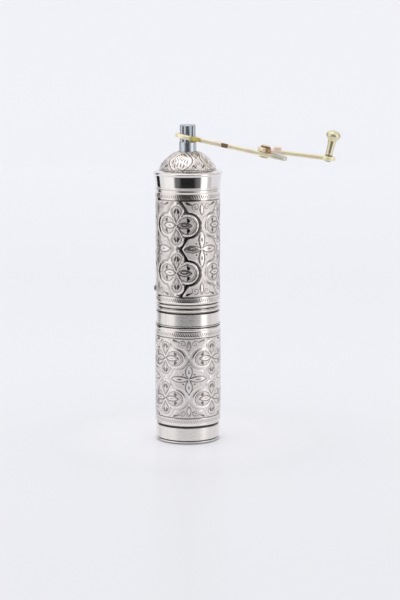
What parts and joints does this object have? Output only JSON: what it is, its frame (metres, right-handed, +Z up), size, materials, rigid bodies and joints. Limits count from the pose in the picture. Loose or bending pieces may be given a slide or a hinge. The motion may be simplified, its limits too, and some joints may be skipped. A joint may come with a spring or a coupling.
{
  "type": "hand crank coffee grinder",
  "caption": "Slim embossed metal cylinder coffee mill with a domed lid, a folding hand crank with a mushroom knob, conical burrs inside and a lift-off cup.",
  "frame": {"origin": "centre of the flat underside of the cup, on the mill's axis", "axes": "+Z up along the mill's axis; +X along the crank arm at rest; +Y completes the right-handed frame"},
  "size_m": [0.1396, 0.0522, 0.2379],
  "materials": {
    "nickel": "brushed and polished nickel plate",
    "engraved_nickel": "embossed nickel plate, darkened in the hollows",
    "polished_nickel": "mirror polished nickel plate",
    "zinc": "grey cast zinc, satin",
    "passivated_steel": "yellow passivated steel, satin",
    "pale_brass": "pale polished brass",
    "brass": "plain rolled brass",
    "steel": "turned steel",
    "dark_steel": "dark steel",
    "burr_steel": "hardened burr steel, satin"
  },
  "bodies": {
    "cup": {"cup_base": "nickel", "cup_tube": "engraved_nickel"},
    "barrel": {"barrel_collar": "nickel", "barrel_tube": "engraved_nickel", "upper_bridge": "brass", "upper_bush": "brass", "side_screw": "dark_steel", "burr_housing": "brass", "outer_burr": "burr_steel", "lower_bridge": "brass", "bridge_screw_left": "steel", "bridge_screw_right": "steel", "lock_nut": "steel", "shaft_spring": "steel"},
    "thrust": {"thrust_ball": "steel"},
    "adjuster": {"adjusting_screw": "steel"},
    "drive": {"drive_shaft": "steel", "inner_burr": "burr_steel", "burr_pin": "steel", "shaft_collar": "steel", "spring_washer": "steel", "drive_head": "zinc", "head_pin": "steel"},
    "lid": {"lid_skirt": "polished_nickel", "lid_dome": "engraved_nickel"},
    "crank": {"crank_inner_arm": "passivated_steel", "hinge_rivet": "passivated_steel"},
    "outer_arm": {"crank_outer_arm": "passivated_steel", "hinge_washer": "passivated_steel", "knob_spindle": "passivated_steel", "knob_washer": "passivated_steel"},
    "knob": {"knob": "pale_brass"}
  },
  "joints": [
    {"name": "barrel_lift", "type": "slide", "parent": "cup", "child": "barrel", "axis": [0, 0, 1], "range_m": [0, 0.07]},
    {"name": "burr_lift", "type": "slide", "parent": "barrel", "child": "thrust", "axis": [0, 0, 1], "range_m": [-0.0004, 0.0004]},
    {"name": "adjuster_turn", "type": "hinge", "parent": "thrust", "child": "adjuster", "pos_m": [0, 0, 0.08], "axis": [0, 0, 1], "range_deg": [-180, 180]},
    {"name": "crank_turn", "type": "hinge", "parent": "thrust", "child": "drive", "pos_m": [0, 0, 0.15], "axis": [0, 0, 1], "continuous": true},
    {"name": "lid_lift", "type": "slide", "parent": "barrel", "child": "lid", "axis": [0, 0, 1], "range_m": [0, 0.062]},
    {"name": "crank_lift", "type": "slide", "parent": "drive", "child": "crank", "axis": [0, 0, 1], "range_m": [0, 0.124]},
    {"name": "arm_fold", "type": "hinge", "parent": "crank", "child": "outer_arm", "pos_m": [0.05682, 0, 0.2159], "axis": [0.2164, 0, 0.9763], "range_deg": [0, 180]},
    {"name": "knob_spin", "type": "hinge", "parent": "outer_arm", "child": "knob", "pos_m": [0.10461, 0, 0.2143], "axis": [0.2164, 0, 0.9763], "continuous": true}
  ],
  "couplings": [
    {"joint": "adjuster_turn", "follows": "burr_lift", "rad_per_m": 7853},
    {"joint": "lid_lift", "follows": "crank_lift", "ratio": 0.5}
  ]
}
